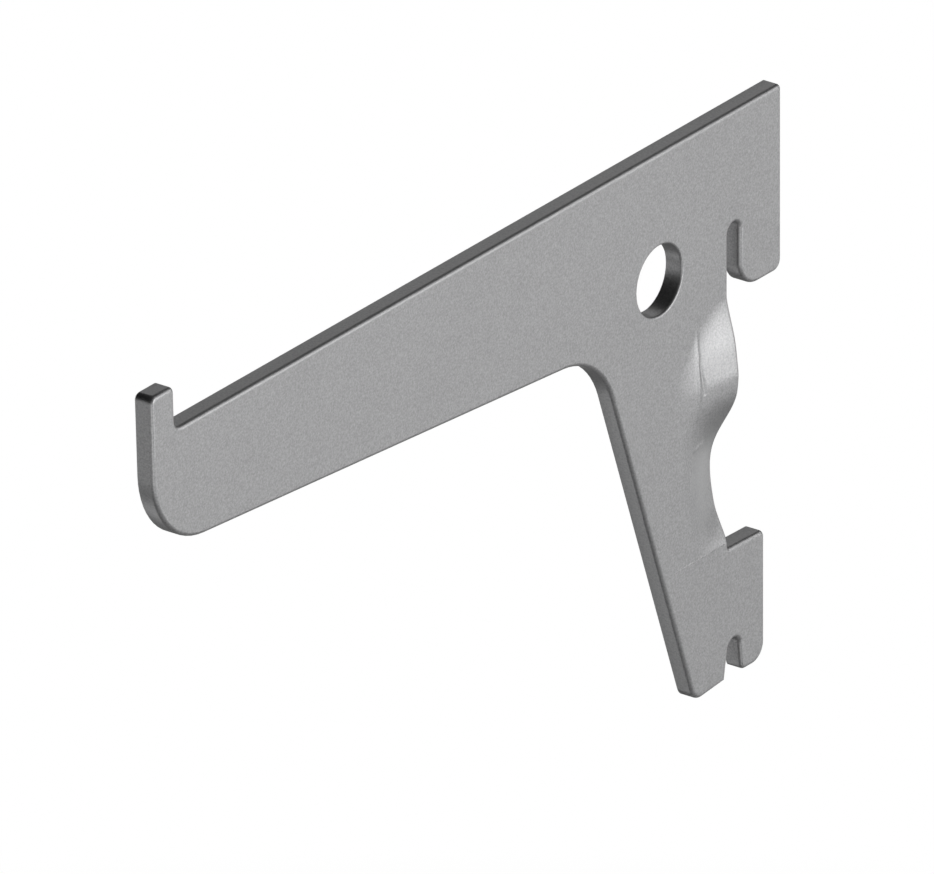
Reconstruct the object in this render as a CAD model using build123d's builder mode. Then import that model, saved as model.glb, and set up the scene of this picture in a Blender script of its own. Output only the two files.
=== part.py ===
from build123d import *
import os
from math import pi, radians, sin, tan

# Slotted shelf bracket, stamped from one steel sheet, in millimetres
# X is the thickness of the sheet, with the rounded punch side at +X and the bevelled burr side at -X
# Y runs from the shelf (-Y) to the rail and the wall (+Y), and Z is up
# The origin is the seat of the upper slot, on the front face of the rail, at the middle of the sheet

# Sheet
sheet_thickness = 2.35
punch_side_radius = 0.5
burr_side_bevel = 0.2

# Arm, measured from the front face of the rail
shelf_depth = 101.3
arm_top_height = 13.5
arm_bottom_start_height = -0.4
arm_bottom_angle = 4.5
arm_nose_radius = 10.0
arm_to_leg_radius = 10.5

# Lip at the front of the arm, which leans a little outwards
lip_thickness = 4.2
lip_rise = 5.2
lip_lean_angle = 2.2
lip_front_corner_radius = 0.8
lip_rear_corner_radius = 0.8
lip_root_radius = 1.0

# Slots that hold the bracket in the rail, one rail pitch apart
rail_pitch = 50.0
slot_width = 2.25
lower_slot_flare = 0.35
foot_flare = 0.6

# Hook behind the upper slot
hook_reach = 9.95
hook_drop = 8.65
hook_top_radius = 0.6
hook_lead_in_radius = 3.4
hook_heel_radius = 1.3

# Lug behind the lower slot
lug_reach = 6.8
lug_top_height = -38.72
lug_top_slope_angle = 1.6
lug_drop = 4.42
lug_top_radius = 0.8
lug_bottom_radius = 2.2
lug_lead_in_radius = 0.7
lug_root_radius = 0.3

# Leg
leg_front_at_foot = -6.19
leg_front_angle = 19.6
foot_drop = 4.92
foot_slope_angle = 5.0
foot_radius = 1.7

# Hole through the root of the arm
hole_diameter = 8.3
hole_setback = 12.75
hole_drop = 1.8
hole_edge_radius = 0.3

# Wave pressed into the rear edge of the leg, first towards +X and then towards -X
wave_top_width = 3.5
crest_width = 9.2
wave_bottom_width = 6.6
wave_margin = 0.3
wave_top_height = -8.4
crest_height = -17.5
crest_push = 1.62
trough_height = -29.1
trough_push = -2.28
wave_to_lug_gap = 0.8
wave_sections = 24

half_sheet = sheet_thickness / 2
lower_seat_height = -rail_pitch
lug_bottom_height = lower_seat_height - lug_drop
foot_height = lower_seat_height - foot_drop
slot_radius = slot_width / 2
wave_bottom_height = lug_top_height + wave_to_lug_gap
window_width = max(wave_top_width, crest_width, wave_bottom_width) + wave_margin


def leg_front(height):
    return leg_front_at_foot - (height - foot_height) * tan(radians(leg_front_angle))


def arm_bottom(y):
    return arm_bottom_start_height - (y + shelf_depth) * tan(radians(arm_bottom_angle))


def lip_side(y_at_top_edge, height):
    return y_at_top_edge - (height - arm_top_height) * tan(radians(lip_lean_angle))


# Corners of the sheet, clockwise from the top of the lip
lip_top_height = arm_top_height + lip_rise
lip_front = -shelf_depth - lip_thickness
nose_corner = (lip_side(lip_front, arm_bottom(lip_front)), arm_bottom(lip_front))
leg_corner_y = leg_front(arm_bottom(leg_front(arm_top_height)))
leg_corner = (leg_corner_y, arm_bottom(leg_corner_y))
lip_front_corner = (lip_side(lip_front, lip_top_height), lip_top_height)
lip_rear_corner = (lip_side(-shelf_depth, lip_top_height), lip_top_height)
lip_root = (-shelf_depth, arm_top_height)
hook_top_corner = (hook_reach, arm_top_height)
hook_heel = (hook_reach, -hook_drop)
hook_lead_in = (slot_width, -hook_drop)
lug_root = (0, lug_top_height)
lug_top_corner = (lug_reach, lug_top_height - lug_reach * tan(radians(lug_top_slope_angle)))
lug_bottom_corner = (lug_reach, lug_bottom_height)
lug_lead_in = (slot_width + lower_slot_flare, lug_bottom_height)
foot_height_at_slot = foot_height + (-leg_front_at_foot - foot_flare) * tan(radians(foot_slope_angle))
foot_heel = (-foot_flare, foot_height_at_slot)
foot_corner = (leg_front_at_foot, foot_height)

# Radius of each rounded corner
rounded_corners = [
    (lip_front_corner, lip_front_corner_radius),
    (lip_rear_corner, lip_rear_corner_radius),
    (lip_root, lip_root_radius),
    (hook_top_corner, hook_top_radius),
    (hook_heel, hook_heel_radius),
    (hook_lead_in, hook_lead_in_radius),
    (lug_root, lug_root_radius),
    (lug_top_corner, lug_top_radius),
    (lug_bottom_corner, lug_bottom_radius),
    (lug_lead_in, lug_lead_in_radius),
    (foot_corner, foot_radius),
    (leg_corner, arm_to_leg_radius),
    (nose_corner, arm_nose_radius),
]

# Wave as it is seen from behind, along the rear edge: how far the sheet is pushed at each height
with BuildLine() as wave:
    Spline(
        (0, wave_top_height),
        (0.28 * crest_push, wave_top_height + 0.23 * (crest_height - wave_top_height)),
        (0.70 * crest_push, wave_top_height + 0.53 * (crest_height - wave_top_height)),
        (0.93 * crest_push, wave_top_height + 0.85 * (crest_height - wave_top_height)),
        (crest_push, crest_height),
        (0.72 * crest_push, crest_height + 0.25 * (trough_height - crest_height)),
        (0.72 * trough_push, crest_height + 0.72 * (trough_height - crest_height)),
        (trough_push, trough_height),
        (0.73 * trough_push, trough_height + 0.53 * (wave_bottom_height - trough_height)),
        (0.36 * trough_push, trough_height + 0.77 * (wave_bottom_height - trough_height)),
        (0, wave_bottom_height),
        tangents=[(0.06, -1), (0.25, -1)],
    )


# Share of the push that the sheet has taken up, from the front of the wave (1) to its rear edge (0)
climb_shares = [(1, 0), (0.82, 0.05), (0.6, 0.26), (0.3, 0.65)]


# The pressed strip widens in a round curve down to the crest, and then narrows evenly towards the lug
def strip_width(height):
    if height > crest_height:
        descent = (wave_top_height - height) / (wave_top_height - crest_height)
        return wave_top_width + (crest_width - wave_top_width) * sin(descent * pi / 2)
    descent = (crest_height - height) / (crest_height - wave_bottom_height)
    return crest_width + (wave_bottom_width - crest_width) * descent


with BuildPart() as bracket:
    with BuildSketch(Plane.YZ) as outline:
        with BuildLine():
            Polyline(
                lip_front_corner,
                lip_rear_corner,
                lip_root,
                hook_top_corner,
                hook_heel,
                hook_lead_in,
                (slot_width, -slot_radius),
                (0, -slot_radius),
                lug_root,
                lug_top_corner,
                lug_bottom_corner,
                lug_lead_in,
                (slot_width, lower_seat_height - slot_radius),
                (0, lower_seat_height - slot_radius),
                foot_heel,
                foot_corner,
                leg_corner,
                nose_corner,
                close=True,
            )
        make_face()
        for corner, radius in rounded_corners:
            fillet(outline.vertices().sort_by_distance(corner)[0], radius)
        with Locations((slot_radius, -slot_radius), (slot_radius, lower_seat_height - slot_radius)):
            Circle(slot_radius, mode=Mode.SUBTRACT)
        with Locations((-hole_setback, -hole_drop)):
            Circle(hole_diameter / 2, mode=Mode.SUBTRACT)
    extrude(amount=half_sheet, both=True)

    near_face = bracket.faces().sort_by(Axis.X)[-1]
    far_face = bracket.faces().sort_by(Axis.X)[0]
    hole_edges = near_face.inner_wires().edges()
    fillet(near_face.outer_wire().edges(), punch_side_radius)
    fillet(hole_edges, hole_edge_radius)
    chamfer(far_face.edges(), burr_side_bevel)

    # Window for the pressed strip, which the strip itself then fills
    with BuildSketch(Plane.YZ):
        with BuildLine():
            Polyline(
                (-window_width, wave_bottom_height),
                (wave_margin, wave_bottom_height),
                (wave_margin, wave_top_height),
                (-window_width, wave_top_height),
                close=True,
            )
        make_face()
    extrude(amount=half_sheet, both=True, mode=Mode.SUBTRACT)

    for station in range(wave_sections + 1):
        push, height = tuple(wave.line @ (station / wave_sections))[:2]
        width = strip_width(height)
        ramp_width = width - punch_side_radius
        near = half_sheet + push
        far = -half_sheet + push
        ramp = [(push * share, -punch_side_radius - ramp_width * place) for place, share in climb_shares]
        near_points = [(half_sheet + climb, y) for climb, y in ramp]
        far_points = [(-half_sheet + climb, y) for climb, y in reversed(ramp)]
        last_climb, last_y = ramp[-1]
        rear_slope = (push - last_climb) / (-punch_side_radius - last_y)
        with BuildSketch(Plane.XY.offset(height)):
            with BuildLine():
                Line((-half_sheet, -window_width), (half_sheet, -window_width))
                Line((half_sheet, -window_width), (half_sheet, -width))
                Spline(*near_points, (near, -punch_side_radius), tangents=[(0, 1), (rear_slope, 1)])
                RadiusArc((near, -punch_side_radius), (near - punch_side_radius, 0), -punch_side_radius)
                Line((near - punch_side_radius, 0), (far + burr_side_bevel, 0))
                Line((far + burr_side_bevel, 0), (far, -burr_side_bevel))
                Spline((far, -burr_side_bevel), *far_points, tangents=[(-rear_slope, -1), (0, -1)])
                Line((-half_sheet, -width), (-half_sheet, -window_width))
            make_face()
    loft()

bracket.part.label = "bracket"
os.makedirs("parts", exist_ok=True)
export_step(bracket.part, "parts/bracket.step")
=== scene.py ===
import math
import bpy
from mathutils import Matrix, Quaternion, Vector


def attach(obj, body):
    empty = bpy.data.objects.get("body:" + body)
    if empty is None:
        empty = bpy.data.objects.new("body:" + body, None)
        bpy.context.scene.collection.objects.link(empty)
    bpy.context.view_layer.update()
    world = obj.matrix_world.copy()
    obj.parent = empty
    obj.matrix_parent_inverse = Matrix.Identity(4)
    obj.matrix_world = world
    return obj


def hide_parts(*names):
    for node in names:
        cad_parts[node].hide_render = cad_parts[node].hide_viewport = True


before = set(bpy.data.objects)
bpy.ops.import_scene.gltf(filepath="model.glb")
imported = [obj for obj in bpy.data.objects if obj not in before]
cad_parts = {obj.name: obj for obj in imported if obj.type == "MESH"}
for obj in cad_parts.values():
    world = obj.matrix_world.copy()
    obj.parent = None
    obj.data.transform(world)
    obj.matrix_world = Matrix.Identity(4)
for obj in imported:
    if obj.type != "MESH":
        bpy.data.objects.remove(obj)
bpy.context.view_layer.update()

bracketCentre = Vector((0.0, -0.048, -0.018))  # what the lamps point at


# shader maths: a socket that adds and multiplies like a number
class Wire:
    def __init__(self, board, socket):
        self.board = board
        self.socket = socket

    def maths(self, operation, first, second):
        return self.board.add("ShaderNodeMath", {"operation": operation}, {0: first, 1: second})

    def __add__(self, other):
        return self.maths("ADD", self, other)

    def __sub__(self, other):
        return self.maths("SUBTRACT", self, other)

    def __rsub__(self, other):
        return self.maths("SUBTRACT", other, self)

    def __mul__(self, other):
        return self.maths("MULTIPLY", self, other)

    __radd__ = __add__
    __rmul__ = __mul__


# one node tree, to which nodes are added by type, settings and inputs
class Board:
    def __init__(self, owner):
        owner.use_nodes = True
        self.tree = owner.node_tree
        self.tree.nodes.clear()

    def add(self, kind, settings=None, inputs=None, output=0):
        node = self.tree.nodes.new(kind)
        for name, value in (settings or {}).items():
            setattr(node, name, value)
        for name, value in (inputs or {}).items():
            if isinstance(value, Wire):
                self.tree.links.new(value.socket, node.inputs[name])
            else:
                node.inputs[name].default_value = value
        return Wire(self, node.outputs[output] if len(node.outputs) else None)

    def blendColour(self, factor, first, second):
        settings = {"data_type": "RGBA"}
        return self.add("ShaderNodeMix", settings, {0: factor, 6: first, 7: second}, output=2)

    def seenAsBackdrop(self):
        rays = [self.add("ShaderNodeLightPath", output=name) for name in
                ("Is Camera Ray", "Is Glossy Ray", "Is Transmission Ray")]
        return self.add("ShaderNodeMath", {"operation": "MINIMUM"}, {0: rays[0] + rays[1] + rays[2], 1: 1.0})


def grey(level, tint=0.0):
    return (level, level, level + tint, 1.0)


# camera: where the photograph was taken from
cameraSettings = {
    "azimuth": 36.1852,  # degrees from -Y towards +X
    "elevation": 24.7254,
    "roll": -0.1679,
    "distance": 5.0,
    "aim": (0.000905, -0.048023, -0.007395),
    "pixelsPerMetre": 9231.8,
    "imageWidth": 934,
    "sensorWidth": 36.0,  # millimetres
    "farthest": 20.0,
}


def addCamera():
    azimuth = math.radians(cameraSettings["azimuth"])
    elevation = math.radians(cameraSettings["elevation"])
    back = Vector((math.sin(azimuth) * math.cos(elevation),
                   -math.cos(azimuth) * math.cos(elevation),
                   math.sin(elevation)))
    bpy.ops.object.camera_add(location=Vector(cameraSettings["aim"]) + back * cameraSettings["distance"])
    camera = bpy.context.active_object
    camera.name = "camera"
    roll = Quaternion((0.0, 0.0, 1.0), math.radians(cameraSettings["roll"]))
    camera.rotation_euler = (back.to_track_quat("Z", "Y") @ roll).to_euler()
    camera.data.sensor_width = cameraSettings["sensorWidth"]
    wide = cameraSettings["imageWidth"] / cameraSettings["pixelsPerMetre"]  # metres across the picture
    camera.data.lens = camera.data.sensor_width * cameraSettings["distance"] / wide
    camera.data.clip_end = cameraSettings["farthest"]
    bpy.context.scene.camera = camera
    print("camera placed")


# studio: lamps round the bracket, each by its direction from the bracket, its distance, width and power
lampSettings = {
    "right": {"towards": (0.907, 0.413, 0.061), "distance": 0.8, "width": 0.6, "power": 4.0},
    "rightLow": {"towards": (0.8, 0.2, -0.5), "distance": 0.8, "width": 0.4, "power": 1.8},
    "rightRear": {"towards": (0.5, 0.8, 0.3), "distance": 0.8, "width": 0.4, "power": 0.95},
    "rearHigh": {"towards": (-0.5, 0.75, 0.45), "distance": 0.8, "width": 0.5, "power": 0.45},
    "frontBelow": {"towards": (-0.54, -0.3, -0.79), "distance": 0.3, "width": 0.12, "power": 0.055},
    "rightFront": {"towards": (0.72, -0.52, -0.42), "distance": 0.6, "width": 0.2, "power": 0.5},
}
worldSettings = {"ambient": 0.04}
floorSettings = {
    "height": -0.32,
    "width": 6.0,
    "level": 0.75,
    "white": 1.0,
    "shadowReach": 0.42,  # how far from below the bracket the floor is matt and takes its shadow
    "fade": 0.14,
}


def addLamps():
    for name, lamp in lampSettings.items():
        towards = Vector(lamp["towards"]).normalized()
        bpy.ops.object.light_add(type="AREA", location=bracketCentre + towards * lamp["distance"])
        light = bpy.context.active_object
        light.name = name
        light.rotation_euler = towards.to_track_quat("Z", "Y").to_euler()
        light.data.shape = "DISK"
        light.data.size = lamp["width"]
        light.data.energy = lamp["power"]
    print("lamps placed:", len(lampSettings))


def addWorld():
    world = bpy.data.worlds.new("studio")
    bpy.context.scene.world = world
    board = Board(world)
    room = board.add("ShaderNodeBackground", None, {"Color": grey(1.0), "Strength": worldSettings["ambient"]})
    board.add("ShaderNodeOutputWorld", None, {"Surface": room})


def addFloor():
    height = floorSettings["height"]
    bpy.ops.object.select_all(action="DESELECT")
    bpy.ops.mesh.primitive_plane_add(size=floorSettings["width"], location=(0.0, 0.0, height))
    bpy.ops.object.transform_apply(location=True, rotation=True, scale=True)
    floor = bpy.context.active_object
    floor.name = "floor"
    material = bpy.data.materials.new("paleFloor")
    board = Board(material)
    place = board.add("ShaderNodeTexCoord", output="Object")
    under = board.add("ShaderNodeCombineXYZ", None, {"X": 0.0, "Y": bracketCentre.y, "Z": height})
    reach = board.add("ShaderNodeVectorMath", {"operation": "DISTANCE"}, {0: place, 1: under}, output="Value")
    away = board.add("ShaderNodeMapRange", {"interpolation_type": "SMOOTHSTEP"}, {
        "Value": reach,
        "From Min": floorSettings["shadowReach"],
        "From Max": floorSettings["shadowReach"] + floorSettings["fade"],
    })
    matt = board.add("ShaderNodeBsdfDiffuse", None, {"Color": grey(floorSettings["level"])})
    white = board.add("ShaderNodeEmission", None, {"Color": grey(1.0), "Strength": floorSettings["white"]})
    mixed = board.add("ShaderNodeMixShader", None, {0: away * board.seenAsBackdrop(), 1: matt, 2: white})
    board.add("ShaderNodeOutputMaterial", None, {"Surface": mixed})
    floor.data.materials.append(material)
    print("floor laid")


# silver paint on the stamped sheet: fine grain, faint clouds and a satin gloss
paintSettings = {
    "level": 0.285,
    "darkest": 0.5,  # shares of the level, between which the grain and the clouds play
    "lightest": 1.5,
    "blueTint": 0.003,
    "grainSize": 0.00022,  # metres
    "grainDetail": 2.0,
    "grainDepth": 0.9,
    "cloudSize": 0.009,
    "cloudDetail": 3.0,
    "cloudDepth": 0.06,
    "metallic": 0.75,
    "roughness": 0.42,
    "roughnessSpread": 0.15,
    "peelSize": 0.0006,
    "peelDetail": 1.5,
    "peelHeight": 0.0000022,
}


def paintNoise(board, place, name):
    size, detail = paintSettings[name + "Size"], paintSettings[name + "Detail"]
    return board.add("ShaderNodeTexNoise", None, {"Vector": place, "Scale": 1.0 / size, "Detail": detail})


def silverPaint():
    material = bpy.data.materials.new("silverPaint")
    board = Board(material)
    place = board.add("ShaderNodeTexCoord", output="Object")
    grain, clouds, peel = [paintNoise(board, place, name) for name in ("grain", "cloud", "peel")]
    tone = (grain - 0.5) * paintSettings["grainDepth"] + (clouds - 0.5) * paintSettings["cloudDepth"] + 0.5
    dark, light = [grey(paintSettings["level"] * paintSettings[share], paintSettings["blueTint"])
                   for share in ("darkest", "lightest")]
    colour = board.blendColour(tone, dark, light)
    gloss = (grain - 0.5) * paintSettings["roughnessSpread"] + paintSettings["roughness"]
    bump = board.add("ShaderNodeBump", None, {
        "Strength": 1.0, "Distance": paintSettings["peelHeight"], "Height": peel + grain,
    })
    paint = board.add("ShaderNodeBsdfPrincipled", None, {
        "Base Color": colour, "Metallic": paintSettings["metallic"], "Roughness": gloss, "Normal": bump,
    })
    board.add("ShaderNodeOutputMaterial", None, {"Surface": paint})
    return material


# wave pressed into the rear edge of the leg, as in the solid but finely meshed, with the marks of the press
waveSettings = {
    "sheet": 0.00235,
    "edgeRound": 0.0005,
    "edgeBevel": 0.0002,
    "top": -0.0084,
    "crest": -0.0175,
    "trough": -0.0291,
    "bottom": -0.03792,
    "crestPush": 0.00162,
    "troughPush": -0.00228,
    "topWidth": 0.0035,
    "crestWidth": 0.0102,
    "bottomWidth": 0.0066,
    "windowWidth": 0.0104,
    "holeCentre": (-0.01275, -0.0018),
    "nearHoleRadius": 0.00443,  # just inside the hole's rim on each face
    "farHoleRadius": 0.00433,
    # wave's line between its named heights: shares of the way down and of the push
    "toCrest": ((0.23, 0.28), (0.53, 0.70), (0.85, 0.93)),
    "pastCrest": (0.25, 0.72),
    "beforeTrough": (0.72, 0.72),
    "fromTrough": ((0.53, 0.73), (0.77, 0.36)),
    "endSlopes": (0.06, 0.02),
    "climb": (1.98, -0.82, -0.16),  # how the sheet climbs to its push, in powers of the way from the front
    "rows": 290,
    "nearColumns": 90,
    "farColumns": 30,
    "fairing": 40,  # passes that even out the wave's line
    "smoothAngle": 35.0,
}

# how close two points are that count as one, and how flat a face lies on a side of the sheet
meshLimits = {"samePoint": 0.000001, "joined": 0.000002, "flatFace": 0.0000002, "squareNormal": 0.9999}

# marks of the press on the near side: a line from start to end, each (y, z), raised or sunk by height
pressMarks = {
    "crownLine": {"start": (-0.0059, -0.01), "end": (-0.0062, -0.0212), "width": 0.00028, "height": 0.00009},
    "crownFold": {"start": (-0.00585, -0.01385), "end": (-0.0052, -0.0182), "width": 0.00022,
                  "height": -0.0001},
    "rimAcross": {"start": (-0.0042, -0.0245), "end": (-0.00624, -0.0248), "width": 0.00022,
                  "height": 0.00008},
    "rimDown": {"start": (-0.0066, -0.025), "end": (-0.0068, -0.0302), "width": 0.00022, "height": 0.00006},
}


# value at a place on a smooth curve through (place, value) points
def curveThrough(points, at, endSlopes):
    last = len(points) - 1
    slopes = [(after[1] - before[1]) / (after[0] - before[0]) for before, after in zip(points, points[2:])]
    slopes = [endSlopes[0]] + slopes + [endSlopes[1]]
    i = max(k for k in range(last) if k == 0 or at >= points[k][0])
    (x0, y0), (x1, y1) = points[i], points[i + 1]
    span = x1 - x0
    t = (at - x0) / span
    rise = t * t * (3 - 2 * t)
    return (y0 + (y1 - y0) * rise
            + span * slopes[i] * t * (1 - t) ** 2
            - span * slopes[i + 1] * t * t * (1 - t))


# push of the sheet's rear edge at each row of the strip, from the top down
def wavePushes(heights):
    wave = waveSettings
    down = wave["top"] - wave["crest"]
    across = wave["crest"] - wave["trough"]
    out = wave["trough"] - wave["bottom"]
    crest, trough = wave["crestPush"], wave["troughPush"]
    past, before = wave["pastCrest"], wave["beforeTrough"]
    points = [(0.0, 0.0)]
    points += [(way * down, share * crest) for way, share in wave["toCrest"]]
    points += [(down, crest), (down + past[0] * across, past[1] * crest)]
    points += [(down + before[0] * across, before[1] * trough), (down + across, trough)]
    points += [(down + across + way * out, share * trough) for way, share in wave["fromTrough"]]
    points += [(down + across + out, 0.0)]
    pushes = [curveThrough(points, wave["top"] - height, wave["endSlopes"]) for height in heights]
    for turn in range(wave["fairing"]):
        middle = [(pushes[i - 1] + 2 * pushes[i] + pushes[i + 1]) / 4 for i in range(1, len(pushes) - 1)]
        pushes = [pushes[0]] + middle + [pushes[-1]]
    return pushes


def waveWidth(height):
    wave = waveSettings
    if height > wave["crest"]:
        descent = (wave["top"] - height) / (wave["top"] - wave["crest"])
        return wave["topWidth"] + (wave["crestWidth"] - wave["topWidth"]) * math.sin(descent * math.pi / 2)
    descent = (wave["crest"] - height) / (wave["crest"] - wave["bottom"])
    return wave["crestWidth"] + (wave["bottomWidth"] - wave["crestWidth"]) * descent


def climbShare(setback, width):
    fromRear = (setback - waveSettings["edgeRound"]) / (width - waveSettings["edgeRound"])
    way = min(1.0, max(0.0, 1.0 - fromRear))
    second, third, fourth = waveSettings["climb"]
    return way * way * (second + way * (third + way * fourth))


def pressRelief(y, z):
    relief = 0.0
    for mark in pressMarks.values():
        start, end = Vector(mark["start"]), Vector(mark["end"])
        along = end - start
        t = (Vector((y, z)) - start).dot(along) / along.length_squared
        if 0.0 < t < 1.0:
            away = (Vector((y, z)) - (start + along * t)).length / mark["width"]
            taper = math.sin(math.pi * t) ** 0.5
            relief += mark["height"] * taper * math.exp(-away * away)
    return relief


def evenSteps(start, end, count):
    return [start + (end - start) * i / count for i in range(count + 1)]


# the sheet's section as (x, y) points: along the near face, round the rear edge and back along the far face,
# with the plate's own points on the rounded edge, so that the two meet point to point
def sheetSection(plate):
    wave = waveSettings
    half, window = wave["sheet"] / 2, wave["windowWidth"]
    limit = meshLimits["joined"]
    near = [(half, y) for y in evenSteps(-window, -wave["edgeRound"], wave["nearColumns"])]
    atTop = [vertex.co for vertex in plate.data.vertices if abs(vertex.co.z - wave["top"]) < limit]
    rounded = sorted({(round(point.x, 7), round(point.y, 7)) for point in atTop
                      if point.x > 0 and -wave["edgeRound"] + limit < point.y < limit},
                     key=lambda point: point[1])
    far = [(-half, y) for y in evenSteps(-wave["edgeBevel"], -window, wave["farColumns"])]
    return near + rounded + [(wave["edgeBevel"] - half, 0.0)] + far


def fromHole(y, z):
    return math.dist((y, z), waveSettings["holeCentre"])


def addPressedStrip(section, heights, pushes, widths):
    wave = waveSettings
    columns, rows = len(section) - 1, wave["rows"]
    bpy.ops.object.select_all(action="DESELECT")
    bpy.ops.mesh.primitive_grid_add(x_subdivisions=columns, y_subdivisions=rows, size=2)
    strip = bpy.context.active_object
    for vertex in strip.data.vertices:
        column = round((vertex.co.x + 1) / 2 * columns)
        row = round((1 - vertex.co.y) / 2 * rows)
        x, y = section[column]
        x += pushes[row] * climbShare(-y, widths[row])
        if column < wave["nearColumns"]:
            x += pressRelief(y, heights[row])
        vertex.co = (x, y, heights[row])
    return strip


def selectFaces(piece, wanted):
    bpy.ops.mesh.select_mode(type="FACE")
    bpy.ops.mesh.select_all(action="DESELECT")
    bpy.ops.object.mode_set(mode="OBJECT")
    for face in piece.data.polygons:
        face.select = wanted(face)
    bpy.ops.object.mode_set(mode="EDIT")


# fills the open outline of one flat face, and opens the hole in it again
def fillFlatFace(piece, x, holeRadius):
    bpy.ops.mesh.select_mode(type="EDGE")
    bpy.ops.mesh.select_all(action="DESELECT")
    bpy.ops.mesh.select_non_manifold()
    bpy.ops.object.mode_set(mode="OBJECT")
    onFace = [abs(vertex.co.x - x) < meshLimits["joined"] for vertex in piece.data.vertices]
    for edge in piece.data.edges:
        edge.select = edge.select and all(onFace[end] for end in edge.vertices)
    bpy.ops.object.mode_set(mode="EDIT")
    bpy.ops.mesh.fill(use_beauty=False)
    selectFaces(piece, lambda face: abs(face.center.x - x) < meshLimits["flatFace"]
                and fromHole(*face.center.yz) < holeRadius)
    bpy.ops.mesh.delete(type="ONLY_FACE")


# merged copy of the plate, without its wave and its two flat faces
def copyOfPlate():
    bpy.ops.object.select_all(action="DESELECT")
    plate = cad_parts["bracket"].copy()
    plate.data = plate.data.copy()
    plate.name = "stampedBracket"
    for key in list(plate.keys()):
        del plate[key]
    plate.parent = None
    bpy.context.scene.collection.objects.link(plate)
    plate.select_set(True)
    bpy.context.view_layer.objects.active = plate
    bpy.ops.object.mode_set(mode="EDIT")
    bpy.ops.mesh.select_mode(type="FACE")
    bpy.ops.mesh.select_all(action="SELECT")
    bpy.ops.mesh.remove_doubles(threshold=meshLimits["samePoint"])
    wave = waveSettings
    half = wave["sheet"] / 2
    selectFaces(plate, lambda face: wave["bottom"] < face.center.z < wave["top"]
                and -wave["windowWidth"] < face.center.y < wave["edgeRound"])
    bpy.ops.mesh.delete(type="FACE")
    selectFaces(plate, lambda face: abs(face.normal.x) > meshLimits["squareNormal"]
                and abs(abs(face.center.x) - half) < meshLimits["joined"])
    bpy.ops.mesh.delete(type="FACE")
    bpy.ops.object.mode_set(mode="OBJECT")
    return plate


def addBracket():
    plate = copyOfPlate()
    heights = evenSteps(waveSettings["top"], waveSettings["bottom"], waveSettings["rows"])
    pushes = wavePushes(heights)
    widths = [waveWidth(height) for height in heights]
    strip = addPressedStrip(sheetSection(plate), heights, pushes, widths)
    plate.select_set(True)
    strip.select_set(True)
    bpy.context.view_layer.objects.active = plate
    bpy.ops.object.join()
    bpy.ops.object.mode_set(mode="EDIT")
    bpy.ops.mesh.select_mode(type="EDGE")
    bpy.ops.mesh.select_all(action="SELECT")
    bpy.ops.mesh.remove_doubles(threshold=meshLimits["joined"])
    fillFlatFace(plate, waveSettings["sheet"] / 2, waveSettings["nearHoleRadius"])
    fillFlatFace(plate, -waveSettings["sheet"] / 2, waveSettings["farHoleRadius"])
    bpy.ops.mesh.select_all(action="SELECT")
    bpy.ops.mesh.normals_make_consistent(inside=False)
    bpy.ops.object.mode_set(mode="OBJECT")
    bpy.ops.object.shade_smooth_by_angle(angle=math.radians(waveSettings["smoothAngle"]))
    bpy.ops.object.modifier_add(type="WEIGHTED_NORMAL")
    plate.modifiers[-1].keep_sharp = True
    bpy.ops.object.modifier_apply(modifier=plate.modifiers[-1].name)
    plate.data.materials.clear()
    plate.data.materials.append(silverPaint())
    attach(plate, "root")
    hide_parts("bracket")
    print("bracket finished:", len(plate.data.polygons), "faces")


bpy.context.scene.view_settings.view_transform = "Standard"
addCamera()
addLamps()
addWorld()
addFloor()
addBracket()
